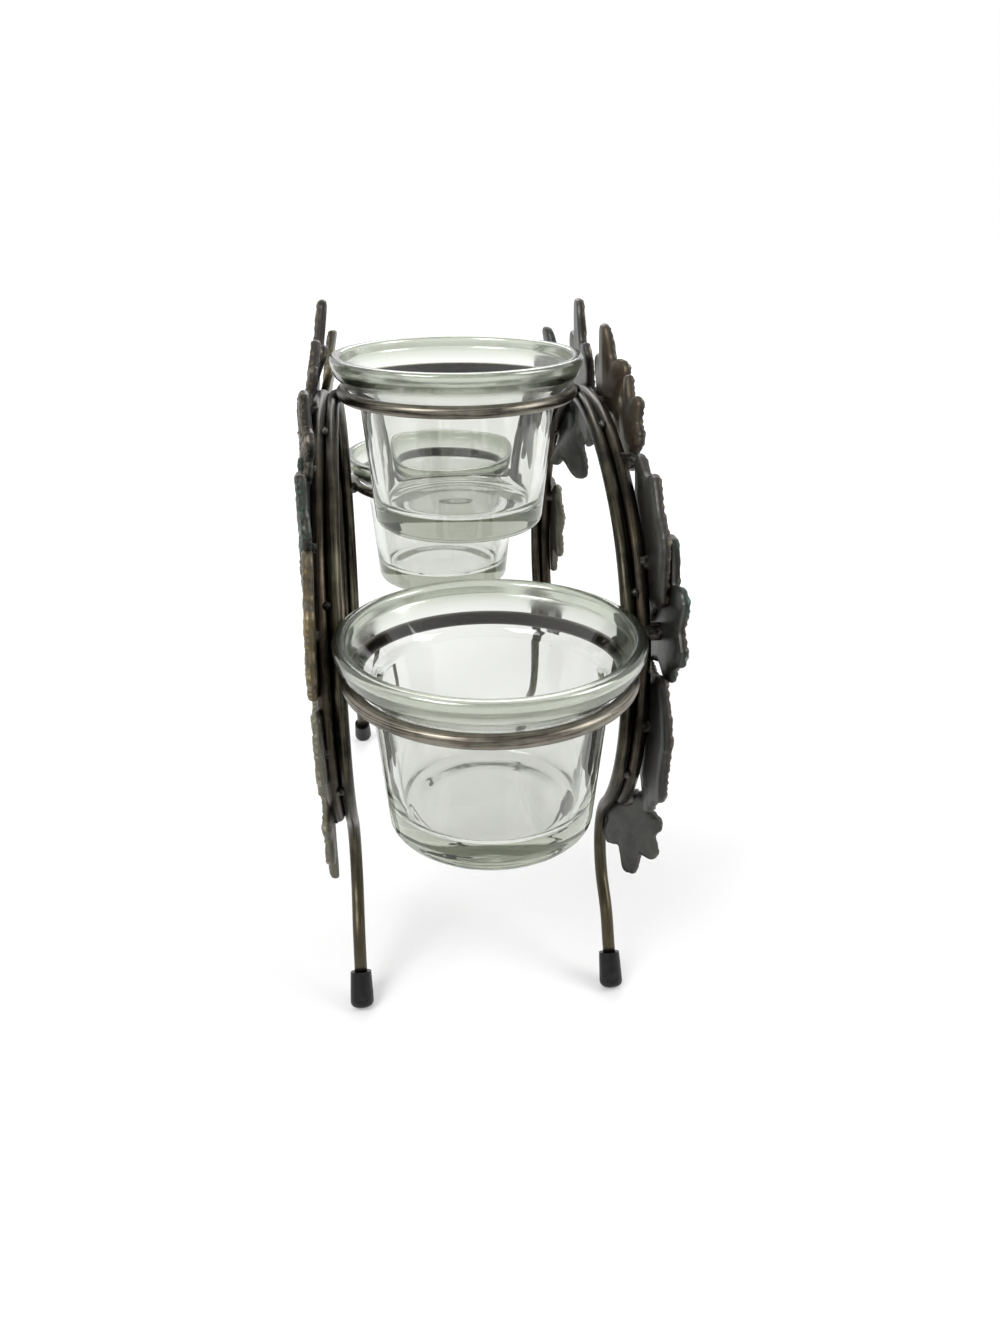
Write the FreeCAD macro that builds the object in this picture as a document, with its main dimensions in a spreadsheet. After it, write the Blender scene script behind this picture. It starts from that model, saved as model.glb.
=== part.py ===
import FreeCAD, Part
import math
import os
import Sketcher
from collections import namedtuple
from FreeCAD import Placement, Rotation, Vector

# A candle stand of bent wire. Three glass cups hang by their flared lips in three wire rings, the
# middle one raised. The rings are welded between two omega-shaped side frames. A second rod on the
# outside of each frame carries lobed sheet-metal leaves, and vinyl caps cover the four rod ends.
# Millimetres, +Z up. The cups stand in a row along Y, the front one at -Y. The origin is on the floor
# under the middle cup.

SIZES = {
    # glass cup
    "rim_dia": 70.0,
    "lip_height": 5.1,
    "lip_band": 2.4,
    "lip_edge": 1.0,
    "lip_thick": 3.2,
    "lip_round": 1.1,
    "cup_height": 48.0,
    "body_taper": 3.3,
    "glass_wall": 3.0,
    "base_thick": 6.5,
    "base_corner": 3.5,
    "inner_round": 2.0,
    # wire ring under the lip
    "ring_wire": 3.4,
    "lip_overhang": 3.15,
    "neck_clear": 2.75,
    "seat_clear": 0.25,
    "ring_step": 47.6,
    # side frame
    "rod_dia": 3.4,
    "side_step": 2.55,
    "arch_half_width": 76.5,
    "shoulder_radius": 52.0,
    "crown_angle": 34.7,
    "tuck_angle": 47.5,
    "waist_radius": 18.0,
    "waist_height": 37.0,
    "leg_angle": 56.0,
    "leg_radius": 20.0,
    "foot_splay": 30.0,
    "weld_gap": 0.25,
    "lip_clear": 0.35,
    # foot cap
    "cap_wall": 1.5,
    "cap_taper": 0.4,
    "cap_height": 9.5,
    "cap_sole": 1.6,
    "cap_round": 1.8,
    "cap_wear": 0.4,
    # branch rod
    "branch_gap": 0.15,
    "branch_end": 43.0,
    # leaves
    "leaf_thick": 1.1,
    "leaf_crease": 2.0,
    "leaf_gap": 0.15,
    "large_leaf": 31.0,
    "medium_leaf": 25.0,
    "small_leaf": 18.0,
    "lobe_round": 2.6,
    "notch_round": 1.1,
    # weld beads
    "ring_bead_dia": 5.0,
    "branch_bead_dia": 3.2,
    "branch_bead_rise": 1.9,
    "leaf_weld_dia": 4.4,
}

doc = FreeCAD.newDocument("candle_stand")
sheet = doc.addObject("Spreadsheet::Sheet", "sizes")
for row, (alias, size) in enumerate(SIZES.items(), start=1):
    sheet.set(f"A{row}", alias)
    sheet.set(f"B{row}", str(size))
    sheet.setAlias(f"B{row}", alias)
doc.recompute()

nodes = {}


def value(expression):
    """The number that an expression on the sheet's sizes gives."""
    return float(sheet.evalExpression(expression))


def keep(label, thing):
    """Name a finished sub-part, whose label also names its file."""
    thing.Label = label
    nodes[label] = thing
    return thing


def solid_feature(label, shape, placement=Placement()):
    """A sub-part with a free shape."""
    feature = doc.addObject("Part::Feature", label)
    feature.Shape = shape
    feature.Placement = placement
    return feature


# Sizes that follow from the driving ones, as expressions on the sheet.
RIM_R = "sizes.rim_dia / 2"
RING_R = f"({RIM_R} - sizes.lip_overhang)"
NECK_R = f"({RING_R} - sizes.ring_wire / 2 - sizes.neck_clear)"
FLARE_R = f"({RIM_R} - sizes.lip_edge)"
FLARE_Z = "(sizes.cup_height - sizes.lip_height)"
NECK_Z = f"({FLARE_Z} - {FLARE_R} + {NECK_R})"
WALL_SLANT = "(sizes.glass_wall * sqrt(2))"
MOUTH_R = f"({RIM_R} - sizes.lip_thick)"
BASE_R = f"({NECK_R} - sizes.body_taper)"
WELL_R = f"({NECK_R} - sizes.glass_wall)"
RING_TO_BOTTOM = (f"({FLARE_Z} - {FLARE_R} + {RING_R}"
                  " - sqrt(2) * (sizes.ring_wire / 2 + sizes.seat_clear))")
ARCH_X = f"({RING_R} + sizes.side_step)"
BRANCH_X = f"({ARCH_X} + sizes.rod_dia + sizes.branch_gap)"
CAP_R = "(sizes.rod_dia / 2 + sizes.cap_wall)"


def turned_body(name, profile):
    """A body turned about Z from a closed profile of (radius, height, rounding) expressions.

    A corner whose rounding is empty stays sharp.
    """
    body = doc.addObject("PartDesign::Body", name)
    sketch = body.newObject("Sketcher::SketchObject", name + "_profile")
    planes = {feature.Role: feature for feature in body.Origin.OriginFeatures}
    sketch.AttachmentSupport = [(planes["XZ_Plane"], "")]
    sketch.MapMode = "FlatFace"
    corners = [Vector(value(radius), value(height), 0) for radius, height, rounding in profile]
    for number, corner in enumerate(corners):
        following = corners[(number + 1) % len(corners)]
        sketch.addGeometry(Part.LineSegment(corner, following), False)
    x_axis, y_axis, start, end = -1, -2, 1, 2
    for number, (corner, texts) in enumerate(zip(corners, profile)):
        before = (number - 1) % len(corners)
        sketch.addConstraint(Sketcher.Constraint("Coincident", before, end, number, start))
        for kind, axis, size, text in (("DistanceX", y_axis, corner.x, texts[0]),
                                       ("DistanceY", x_axis, corner.y, texts[1])):
            if text == "0":
                sketch.addConstraint(Sketcher.Constraint("PointOnObject", number, start, axis))
                continue
            distance = Sketcher.Constraint(kind, x_axis, start, number, start, size)
            sketch.setExpression(f"Constraints[{sketch.addConstraint(distance)}]", text)
    turn = body.newObject("PartDesign::Revolution", name + "_turning")
    turn.Profile = sketch
    turn.ReferenceAxis = (sketch, ["V_Axis"])
    turn.Angle = 360
    doc.recompute()
    rounds = {}
    for corner, (radius, height, rounding) in zip(corners, profile):
        if rounding:
            rounds.setdefault(rounding, []).append(corner)
    for rounding, spots in rounds.items():
        sharp = body.Tip
        rounded = body.newObject("PartDesign::Fillet", name + "_rounding")
        rounded.Base = (sharp, rim_names(sharp.Shape, spots))
        rounded.setExpression("Radius", rounding)
        doc.recompute()
    return body


def rim_names(shape, spots):
    """The names of a turned shape's circular edges at the given (radius, height) spots."""
    near = 1e-4
    names = []
    for number, edge in enumerate(shape.Edges, start=1):
        if not isinstance(edge.Curve, Part.Circle):
            continue
        at = Vector(edge.Curve.Radius, edge.Curve.Center.z, 0)
        if any(at.distanceToPoint(spot) < near for spot in spots):
            names.append(f"Edge{number}")
    return names


# The side frame is laid out in its own plane by (reach, height): reach is the distance from the
# stand's middle along Y. A point on one of its arcs is named by the direction of the arc's normal,
# in degrees from straight up.
Spot = namedtuple("Spot", "reach height")
Bend = namedtuple("Bend", "centre radius first last")


def along(spot, distance, direction):
    """The spot at a distance from another, in a direction in degrees from straight up."""
    angle = math.radians(direction)
    return Spot(spot.reach + distance * math.sin(angle), spot.height + distance * math.cos(angle))


def frame_bends():
    """The four bends of half a side frame, from the crown down to the leg, and the foot's spot."""
    half_width, shoulder_r = sheet.arch_half_width, sheet.shoulder_radius
    waist_r, leg_r = sheet.waist_radius, sheet.leg_radius
    tuck, lean = 90 + sheet.tuck_angle, 90 + sheet.leg_angle
    shoulder_reach = half_width - shoulder_r
    waist_rise = (shoulder_r + waist_r) * math.cos(math.radians(tuck))
    shoulder_c = Spot(shoulder_reach, sheet.waist_height - waist_rise)
    crown_r = shoulder_r + shoulder_reach / math.sin(math.radians(sheet.crown_angle))
    crown_c = along(shoulder_c, shoulder_r - crown_r, sheet.crown_angle)
    waist_c = along(shoulder_c, shoulder_r + waist_r, tuck)
    leg_c = along(waist_c, waist_r + leg_r, -lean)
    crown = Bend(crown_c, crown_r, 0, sheet.crown_angle)
    shoulder = Bend(shoulder_c, shoulder_r, sheet.crown_angle, tuck)
    waist = Bend(waist_c, waist_r, tuck - 180, -lean)
    leg = Bend(leg_c, leg_r, 180 - lean, 90 - sheet.foot_splay)
    splay = math.radians(sheet.foot_splay)
    cap_flat = value(CAP_R) - sheet.cap_round
    sole_height = sheet.cap_round * (1 - math.cos(splay)) + cap_flat * math.sin(splay) - sheet.cap_wear
    leg_end = along(leg_c, leg_r, leg.last)
    run = (leg_end.height - sole_height) / math.cos(splay)
    sole = along(leg_end, run, 180 - sheet.foot_splay)
    return crown, shoulder, waist, leg, sole


CROWN, SHOULDER, WAIST, LEG, SOLE = frame_bends()
BRANCH_LAST = 90 + sheet.branch_end


def frame_spot(direction):
    """The spot on the crown or a shoulder where the rod's normal has a direction."""
    bend = CROWN if abs(direction) <= CROWN.last else SHOULDER
    spot = along(bend.centre, bend.radius, abs(direction))
    return Spot(math.copysign(spot.reach, direction), spot.height)


def place(x, spot, end):
    """A point of the frame's plane at x, on the front (end -1) or the rear (end 1) half."""
    return Vector(x, end * spot.reach, spot.height)


def bend_edge(x, bend, end):
    first, middle, last = (along(bend.centre, bend.radius, direction) for direction in
                           (bend.first, (bend.first + bend.last) / 2, bend.last))
    points = [place(x, spot, end) for spot in (first, middle, last)]
    return Part.Arc(*points).toShape()


def rod_path(x, bends, foot=None):
    """The centre line of a side frame's rod at x, with both of its halves."""
    edges = []
    for end in (-1, 1):
        edges += [bend_edge(x, bend, end) for bend in bends]
        if foot:
            leg_end = along(bends[-1].centre, bends[-1].radius, bends[-1].last)
            edges.append(Part.LineSegment(place(x, leg_end, end), place(x, foot, end)).toShape())
    return Part.Wire(Part.__sortEdges__(edges))


def swept_rod(label, path):
    """A round rod along a path."""
    spine = solid_feature(label + "_path", path)
    first = path.OrderedEdges[0]
    start, tangent = path.OrderedVertexes[0].Point, first.tangentAt(first.FirstParameter)
    if start.distanceToPoint(first.valueAt(first.FirstParameter)) > first.Length / 2:
        tangent = first.tangentAt(first.LastParameter)
    section = doc.addObject("Part::Circle", label + "_section")
    section.setExpression("Radius", "sizes.rod_dia / 2")
    section.Placement = Placement(start, Rotation(Vector(0, 0, 1), tangent))
    rod = doc.addObject("Part::Sweep", label)
    rod.Sections = [section]
    rod.Spine = (spine, [f"Edge{number + 1}" for number in range(len(path.Edges))])
    rod.Solid = True
    doc.recompute()
    swept = math.pi * (sheet.rod_dia / 2) ** 2 * path.Length
    print(f"{label}: volume {rod.Shape.Volume:.1f}, section times length {swept:.1f}")
    return keep(label, rod)


SIDES = {"left": -1, "right": 1}
ENDS = {"front": -1, "rear": 1}

# The rods. The arch rod ends inside its caps, above their soles.
rod_end = along(SOLE, sheet.cap_sole, -sheet.foot_splay)
arch_paths, arch_rods, branch_paths, branch_rods = {}, {}, {}, {}
for side, sign in SIDES.items():
    arch_paths[side] = rod_path(sign * value(ARCH_X), [CROWN, SHOULDER, WAIST, LEG], rod_end)
    arch_rods[side] = swept_rod(f"{side}_arch_rod", arch_paths[side])
    branch_tail = SHOULDER._replace(last=BRANCH_LAST)
    branch_paths[side] = rod_path(sign * value(BRANCH_X), [CROWN, branch_tail])
    branch_rods[side] = swept_rod(f"{side}_branch_rod", branch_paths[side])

# The foot caps. Each is moulded round the end of a rod and worn flat where it stands on the floor.
floor = doc.addObject("Part::Box", "floor")
floor.Length, floor.Width, floor.Height = 4 * value(ARCH_X), 4 * SOLE.reach, sheet.cap_height
floor.Placement.Base = Vector(-floor.Length / 2, -floor.Width / 2, -floor.Height)
for side, sign in SIDES.items():
    for name, end in ENDS.items():
        label = f"{name}_{side}_foot_cap"
        cap_top = f"({CAP_R} - sizes.cap_taper)"
        blank = turned_body(label + "_blank", [
            ("0", "0", ""),
            (CAP_R, "0", "sizes.cap_round"),
            (cap_top, "sizes.cap_height", "sizes.cap_wall / 4"),
            ("0", "sizes.cap_height", ""),
        ])
        blank.Placement = Placement(place(sign * value(ARCH_X), SOLE, end),
                                    Rotation(Vector(1, 0, 0), end * sheet.foot_splay))
        bored = doc.addObject("Part::Cut", label + "_bored")
        bored.Base, bored.Tool = blank, arch_rods[side]
        cap = doc.addObject("Part::Cut", label)
        cap.Base, cap.Tool = bored, floor
        keep(label, cap)

# The rings. The middle one lies on the two crowns. The end ones are as near to the side frames as
# the lips of their cups allow. The joint in each ring's wire is turned away from its welds.
RING_JOINT = 45
ring_reach = (sheet.ring_wire + sheet.rod_dia) / 2 + sheet.weld_gap
apex = frame_spot(0).height
middle_height = apex + math.sqrt(ring_reach ** 2 - sheet.side_step ** 2)
end_height = middle_height - sheet.ring_step
lip_over_ring = sheet.cup_height - sheet.lip_band - value(RING_TO_BOTTOM)


def room_to_rod(radius, y, height):
    """The distance from a level circle to the centre line of a side frame."""
    circle = Part.Circle(Vector(0, y, height), Vector(0, 0, 1), radius).toShape()
    return circle.distToShape(arch_paths["right"])[0]


def end_ring_y():
    """The least distance of an end ring from the middle at which it and its cup clear the rods."""
    inside, outside = frame_spot(90).reach, 2 * frame_spot(90).reach
    fine = 0.001
    while outside - inside > fine:
        y = (inside + outside) / 2
        ring_room = room_to_rod(value(RING_R), y, end_height) - ring_reach
        lip_room = room_to_rod(value(RIM_R), y, end_height + lip_over_ring)
        lip_room -= sheet.rod_dia / 2 + sheet.lip_clear
        if min(ring_room, lip_room) > 0:
            outside = y
        else:
            inside = y
    return outside


end_y = end_ring_y()
ring_spots = {"front": (-end_y, end_height), "middle": (0, middle_height), "rear": (end_y, end_height)}
rings = {}
for name, (y, height) in ring_spots.items():
    ring = doc.addObject("Part::Torus", f"{name}_ring")
    ring.setExpression("Radius1", RING_R)
    ring.setExpression("Radius2", "sizes.ring_wire / 2")
    ring.Placement = Placement(Vector(0, y, height), Rotation(Vector(0, 0, 1), RING_JOINT))
    rings[name] = keep(f"{name}_ring", ring)

# The cups. Each hangs in its ring by the sloping flare under its lip.
flare_in = f"({FLARE_Z} - {FLARE_R} + {WALL_SLANT})"
CUP_PROFILE = [
    ("0", "0", ""),
    (BASE_R, "0", "sizes.base_corner"),
    (NECK_R, NECK_Z, "sizes.inner_round"),
    (FLARE_R, FLARE_Z, "sizes.lip_edge / 2"),
    (RIM_R, "sizes.cup_height - sizes.lip_band", "sizes.lip_round"),
    (RIM_R, "sizes.cup_height", "sizes.lip_round"),
    (MOUTH_R, "sizes.cup_height", "sizes.lip_round"),
    (MOUTH_R, f"{flare_in} + {MOUTH_R}", "sizes.lip_edge / 2"),
    (WELL_R, f"{flare_in} + {WELL_R}", "sizes.inner_round"),
    (f"({BASE_R} - sizes.glass_wall)", "sizes.base_thick", "sizes.inner_round"),
    ("0", "sizes.base_thick", ""),
]
for name, (y, height) in ring_spots.items():
    cup = turned_body(f"{name}_cup", CUP_PROFILE)
    cup.Placement.Base = Vector(0, y, height - value(RING_TO_BOTTOM))
    keep(f"{name}_cup", cup)

# The leaves. Half of a leaf's outline, as (degrees from the tip, share of the reach to the tip) from
# the middle of the leaf: a finger-like lobe has two corners, a notch between lobes has one.
HALF_LEAF = [
    [(7, 0.99)],
    [(21, 0.63)],
    [(38, 0.80), (50, 0.79)],
    [(66, 0.56)],
    [(83, 0.66), (98, 0.64)],
    [(118, 0.48)],
    [(136, 0.54), (151, 0.52)],
]
STEM_NOTCH = (180, 0.34)
SEAT_SHARE = 0.82
ROUND_SHARE = 0.96

# Where each leaf sits on its branch rod and which way its tip points, both in degrees from straight up
# towards the front. Then its size, whether it lies on the rod (0) or over its neighbours (1), how far it
# is moved along its midrib, and how many degrees its tip leans outwards and it turns about its midrib.
Leaf = namedtuple("Leaf", "name at tip reach layer shift lean turn")
LEAVES = {
    "left": [
        Leaf("front_crown", 8, -6, "small_leaf", 0, 2, -12, 0),
        Leaf("front_shoulder", 26, 16, "small_leaf", 0, 5, 0, 0),
        Leaf("front_upper", 45, -40, "medium_leaf", 1, 0, 0, 0),
        Leaf("front_outer", 67, 2, "medium_leaf", 0, 0, 0, 0),
        Leaf("front_lower", 99, 172, "small_leaf", 0, -4, 0, 0),
        Leaf("front_waist", 132, 165, "small_leaf", 0, 0, 0, 0),
        Leaf("rear_crown", -17, 0, "large_leaf", 0, -2, -4, 0),
        Leaf("rear_shoulder", -44, -20, "large_leaf", 0, 0, -4, 0),
        Leaf("rear_hanging", -32, 148, "medium_leaf", 1, 4, 1, 0),
        Leaf("rear_side", -80, 178, "medium_leaf", 0, 0, 0, 0),
        Leaf("rear_waist", -133, -165, "small_leaf", 1, 5, 0, 31),
    ],
    "right": [
        Leaf("front_crown", 6, -4, "small_leaf", 0, 3, -4, 0),
        Leaf("front_shoulder", 25, -62, "small_leaf", 1, 0, 0, -2),
        Leaf("front_upper", 52, -36, "large_leaf", 0, 0, 0, 0),
        Leaf("front_outer", 70, 2, "medium_leaf", 1, 0, 1, 2),
        Leaf("front_lower", 96, 174, "large_leaf", 0, -2, 0, 0),
        Leaf("front_waist", 133, 165, "small_leaf", 1, 5, 0, -31),
        Leaf("rear_crown", -17, 0, "large_leaf", 0, -2, -4, 0),
        Leaf("rear_shoulder", -44, -20, "large_leaf", 0, 0, -4, 0),
        Leaf("rear_hanging", -32, 146, "medium_leaf", 1, 0, 1, 0),
        Leaf("rear_side", -80, 178, "medium_leaf", 0, 0, 0, 0),
        Leaf("rear_waist", -128, -150, "small_leaf", 1, 3, 0, 0),
    ],
}


def rounded_outline(corners, radii):
    """A closed outline through corners in the YZ plane, each rounded as far as its sides allow."""
    edges, count = [], len(corners)
    rounds = []
    for number, corner in enumerate(corners):
        back = corners[number - 1] - corner
        ahead = corners[(number + 1) % count] - corner
        half_angle = back.getAngle(ahead) / 2
        room = min(back.Length, ahead.Length) / 2
        cut = min(radii[number] / math.tan(half_angle), ROUND_SHARE * room)
        radius = cut * math.tan(half_angle)
        inward = (back.normalize() + ahead.normalize()).normalize()
        crest = corner + inward * (radius / math.sin(half_angle) - radius)
        rounds.append((corner + back * cut, crest, corner + ahead * cut))
    for number, (first, crest, last) in enumerate(rounds):
        edges.append(Part.Arc(first, crest, last).toShape())
        edges.append(Part.LineSegment(last, rounds[(number + 1) % count][0]).toShape())
    return Part.Wire(edges)


def leaf_shape(reach):
    """A lobed sheet-metal leaf, creased along its midrib, with its back's ridge through the origin."""
    right = []
    for lobe in HALF_LEAF:
        radius = sheet.notch_round if len(lobe) == 1 and lobe[0][1] < 1 else sheet.lobe_round
        right += [(degrees, share, radius) for degrees, share in lobe]
    left = [(-degrees, share, radius) for degrees, share, radius in reversed(right)]
    around = right + [(*STEM_NOTCH, sheet.notch_round)] + left
    corners = []
    for degrees, share, radius in around:
        spot = along(Spot(0, 0), share * reach, degrees)
        corners.append(Vector(0, spot.reach, spot.height))
    outline = rounded_outline(corners, [radius for degrees, share, radius in around])
    rise = reach * math.tan(math.radians(sheet.leaf_crease))
    thick = sheet.leaf_thick / math.cos(math.radians(sheet.leaf_crease))
    crease = Part.makePolygon([Vector(x, y, -reach) for x, y in
                               ((0, 0), (rise, reach), (rise + thick, reach), (thick, 0),
                                (rise + thick, -reach), (rise, -reach), (0, 0))])
    sheet_metal = Part.Face(crease).extrude(Vector(0, 0, 2 * reach))
    blank = Part.Face(outline).extrude(Vector(rise + thick, 0, 0))
    return sheet_metal.common(blank)


crease_rise = SEAT_SHARE * sheet.large_leaf * math.tan(math.radians(sheet.leaf_crease))
leaf_back = value(BRANCH_X) + sheet.rod_dia / 2 + sheet.leaf_gap
layer_step = sheet.leaf_thick + crease_rise + sheet.leaf_gap
leaves = {"left": [], "right": []}


def leaf_seat(leaf, sign):
    """The placement of a leaf on the branch rod of one side."""
    back = Vector(sign * (leaf_back + leaf.layer * layer_step), 0, 0)
    pointing = Rotation(Vector(1, 0, 0), leaf.tip)
    facing = Rotation(Vector(0, 0, 1), 0 if sign > 0 else 180)
    bent = Rotation(Vector(0, 1, 0), leaf.lean) * Rotation(Vector(0, 0, 1), sign * leaf.turn)
    turned = pointing * facing * bent
    moved = turned.multVec(Vector(0, 0, leaf.shift))
    return Placement(back + place(0, frame_spot(leaf.at), -1) + moved, turned)


for side, sign in SIDES.items():
    for leaf in LEAVES[side]:
        shape = leaf_shape(getattr(sheet, leaf.reach))
        made = solid_feature(f"{side}_{leaf.name}_leaf", shape, leaf_seat(leaf, sign))
        leaves[side].append(keep(made.Label, made))

# The welds. Each is a bead that fills the space between the pieces that it joins.
BRANCH_WELDS = (-115, -62, -24, 16, 60, 114)
BEAD_POLE = Vector(0.3, 1, 0.2)


def beads(label, blanks, joined):
    """A group of weld beads, cut back by the pieces that they join."""
    solids = []
    for blank in blanks:
        pieces = blank.cut([thing.Shape for thing in joined]).Solids
        solids.append(max(pieces, key=lambda piece: piece.Volume))
    return keep(label, solid_feature(label, Part.makeCompound(solids)))


branch_beads, ring_beads = [], []
for side, sign in SIDES.items():
    between = sign * (value(ARCH_X) + value(BRANCH_X)) / 2
    for direction in BRANCH_WELDS:
        valley = along(frame_spot(direction), sheet.branch_bead_rise, direction)
        centre = place(between, valley, -1)
        branch_beads.append(Part.makeSphere(sheet.branch_bead_dia / 2, centre, BEAD_POLE))
    for name, (y, height) in ring_spots.items():
        line = Part.Circle(Vector(0, y, height), Vector(0, 0, 1), value(RING_R)).toShape()
        near, far = line.distToShape(arch_paths[side])[1][0]
        ring_beads.append(Part.makeSphere(sheet.ring_bead_dia / 2, (near + far) / 2, BEAD_POLE))
beads("branch_welds", branch_beads, [*arch_rods.values(), *branch_rods.values()])
beads("ring_welds", ring_beads, [*arch_rods.values(), *rings.values()])
for side, sign in SIDES.items():
    posts = []
    for leaf in LEAVES[side]:
        root = place(sign * value(BRANCH_X), frame_spot(leaf.at), -1)
        height = leaf_back + leaf.layer * layer_step + sheet.leaf_thick / 2 - value(BRANCH_X)
        posts.append(Part.makeCylinder(sheet.leaf_weld_dia / 2, height, root, Vector(sign, 0, 0)))
    beads(f"{side}_leaf_welds", posts, [branch_rods[side], *leaves[side]])

doc.recompute()
for thing in doc.Objects:
    failed = {"Invalid", "Error"} & set(thing.State)
    if failed:
        raise RuntimeError(f"{thing.Label} is {failed}")
for label, thing in nodes.items():
    if thing.Shape.isNull() or not thing.Shape.isValid():
        raise RuntimeError(f"{label} has no valid shape")

os.makedirs("parts", exist_ok=True)
for label, thing in nodes.items():
    thing.Shape.exportStep(os.path.join("parts", f"{label}.step"))
print(f"{len(nodes)} sub-parts, feet at {SOLE.reach:.2f}, end rings at {end_y:.2f}")
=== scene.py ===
import math
from collections import namedtuple

import bmesh
import bpy
from mathutils import Matrix, Vector, noise


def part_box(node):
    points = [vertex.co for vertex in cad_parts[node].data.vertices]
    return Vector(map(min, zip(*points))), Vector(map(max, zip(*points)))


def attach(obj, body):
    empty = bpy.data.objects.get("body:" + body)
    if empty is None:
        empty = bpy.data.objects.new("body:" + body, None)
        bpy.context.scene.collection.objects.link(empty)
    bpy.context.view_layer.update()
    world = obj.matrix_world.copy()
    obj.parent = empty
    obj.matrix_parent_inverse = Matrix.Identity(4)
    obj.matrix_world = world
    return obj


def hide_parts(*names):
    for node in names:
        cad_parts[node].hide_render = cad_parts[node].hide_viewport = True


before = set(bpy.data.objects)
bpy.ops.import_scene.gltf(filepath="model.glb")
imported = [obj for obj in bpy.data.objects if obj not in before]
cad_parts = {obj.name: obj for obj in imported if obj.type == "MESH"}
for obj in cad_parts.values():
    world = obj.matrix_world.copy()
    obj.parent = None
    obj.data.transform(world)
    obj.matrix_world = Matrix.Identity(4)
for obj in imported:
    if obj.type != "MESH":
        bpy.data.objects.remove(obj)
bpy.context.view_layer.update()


# Glass cups. Pressed clear glass, faintly green where light runs far through it, with a flared lip
# and a heavy base. Each hangs loose by its flare in a wire ring. Sizes are in millimetres.
MM = 0.001
CUP_STEPS, ROUND_STEPS = 144, 6
LONG_EDGE, LONG_EDGE_CUTS, MERGE_DISTANCE = 3.0, 5, 0.001
CUP_PROFILE = [
    # radius, height, rounding
    (0, 0.9, 0),
    (15.5, 0.7, 2.0),
    (20.5, 0, 0.8),
    (24.1, 0, 2.7),
    (27.4, 36.3, 1.2),
    (34, 42.9, 0.4),
    (34.98, 45.6, 0.8),
    (34.98, 48, 1.1),
    (31.8, 48, 1.1),
    (31.8, 44.94, 0.5),
    (24.4, 37.54, 1.4),
    (21.1, 6.5, 2.6),
    (14, 6.3, 2.0),
    (0, 6.8, 0),
]
GLASS_COLOUR = (0.835, 0.842, 0.822, 1)
GLASS_TINT = (0.57, 0.60, 0.50, 1)
GLASS_DENSITY = 34
GLASS_IOR = 1.5
LIP_FROM, LIP_FULL, LIP_ROUGH, LIP_SHEEN = 41.5, 44.0, 0.16, 0.16
LIP_GREEN = (0.66, 0.695, 0.61, 1)
# A cloudy pattern is given by its scale and its detail, and its edges are where a patch starts and is full.
SMUDGES, SMUDGE_EDGES, SMEARS = (45, 4), (0.52, 0.75), (600, 2)
CLEAN_ROUGH, SMUDGE_ROUGH = 0.01, 0.10
RIPPLES, RIPPLE_HEIGHT, RIPPLE_STRENGTH = (60, 1), 0.12, 0.5


class Shade:
    """One output of a material's nodes. Sums and products of shades become Math nodes."""

    def __init__(self, tree, socket=None):
        self.tree, self.socket = tree, socket

    def node(self, kind, settings, inputs, output=0):
        """Add a node, set it up, feed its sockets, and give one of its outputs."""
        made = self.tree.nodes.new(kind)
        for name, setting in settings.items():
            setattr(made, name, setting)
        for name, fed in inputs.items():
            if isinstance(fed, Shade):
                self.tree.links.new(fed.socket, made.inputs[name])
            else:
                made.inputs[name].default_value = fed
        return Shade(self.tree, made.outputs[output])

    def math(self, operation, first, second):
        return self.node("ShaderNodeMath", {"operation": operation}, {0: first, 1: second})

    def __add__(self, other):
        return self.math("ADD", self, other)

    def __sub__(self, other):
        return self.math("SUBTRACT", self, other)

    def __mul__(self, other):
        return self.math("MULTIPLY", self, other)

    def __rsub__(self, other):
        return self.math("SUBTRACT", other, self)

    __radd__, __rmul__ = __add__, __mul__

    def larger(self, other):
        return self.math("MAXIMUM", self, other)

    def own(self, name, output="Fac"):
        """What an attribute of the piece's own mesh says."""
        return self.node("ShaderNodeAttribute", {"attribute_name": name}, {}, output)

    def part(self, axis):
        """One of the three numbers of a place or a direction."""
        return self.node("ShaderNodeSeparateXYZ", {}, {0: self}, axis)

    def grain(self, scale, detail, roughness=0.55):
        """Cloudy noise on these coordinates."""
        inputs = {"Vector": self, "Scale": scale, "Detail": detail, "Roughness": roughness}
        return self.node("ShaderNodeTexNoise", {}, inputs, "Fac")

    def rising(self, low, high):
        """0 below low, 1 above high, and smooth between them."""
        inputs = {"Value": self, "From Min": low, "From Max": high}
        return self.node("ShaderNodeMapRange", {"interpolation_type": "SMOOTHSTEP"}, inputs)

    def mix(self, low, high):
        """A colour that goes from low to high as this shade goes from 0 to 1."""
        return self.node("ShaderNodeMix", {"data_type": "RGBA"}, {0: self, 6: low, 7: high}, 2)

    def feed(self, shader, name):
        self.tree.links.new(self.socket, shader.inputs[name])


def new_finish(name):
    """A material, its shader, and the object coordinates on which its patterns lie."""
    material = bpy.data.materials.new(name)
    material.use_nodes = True
    shader = material.node_tree.nodes["Principled BSDF"]
    spot = Shade(material.node_tree).node("ShaderNodeTexCoord", {}, {}, "Object")
    return material, shader, spot


def bump(height, shader, distance, strength=1.0):
    """Let a shade raise the surface by up to a distance in metres."""
    inputs = {"Height": height, "Distance": distance, "Strength": strength}
    height.node("ShaderNodeBump", {}, inputs).feed(shader, "Normal")


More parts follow.
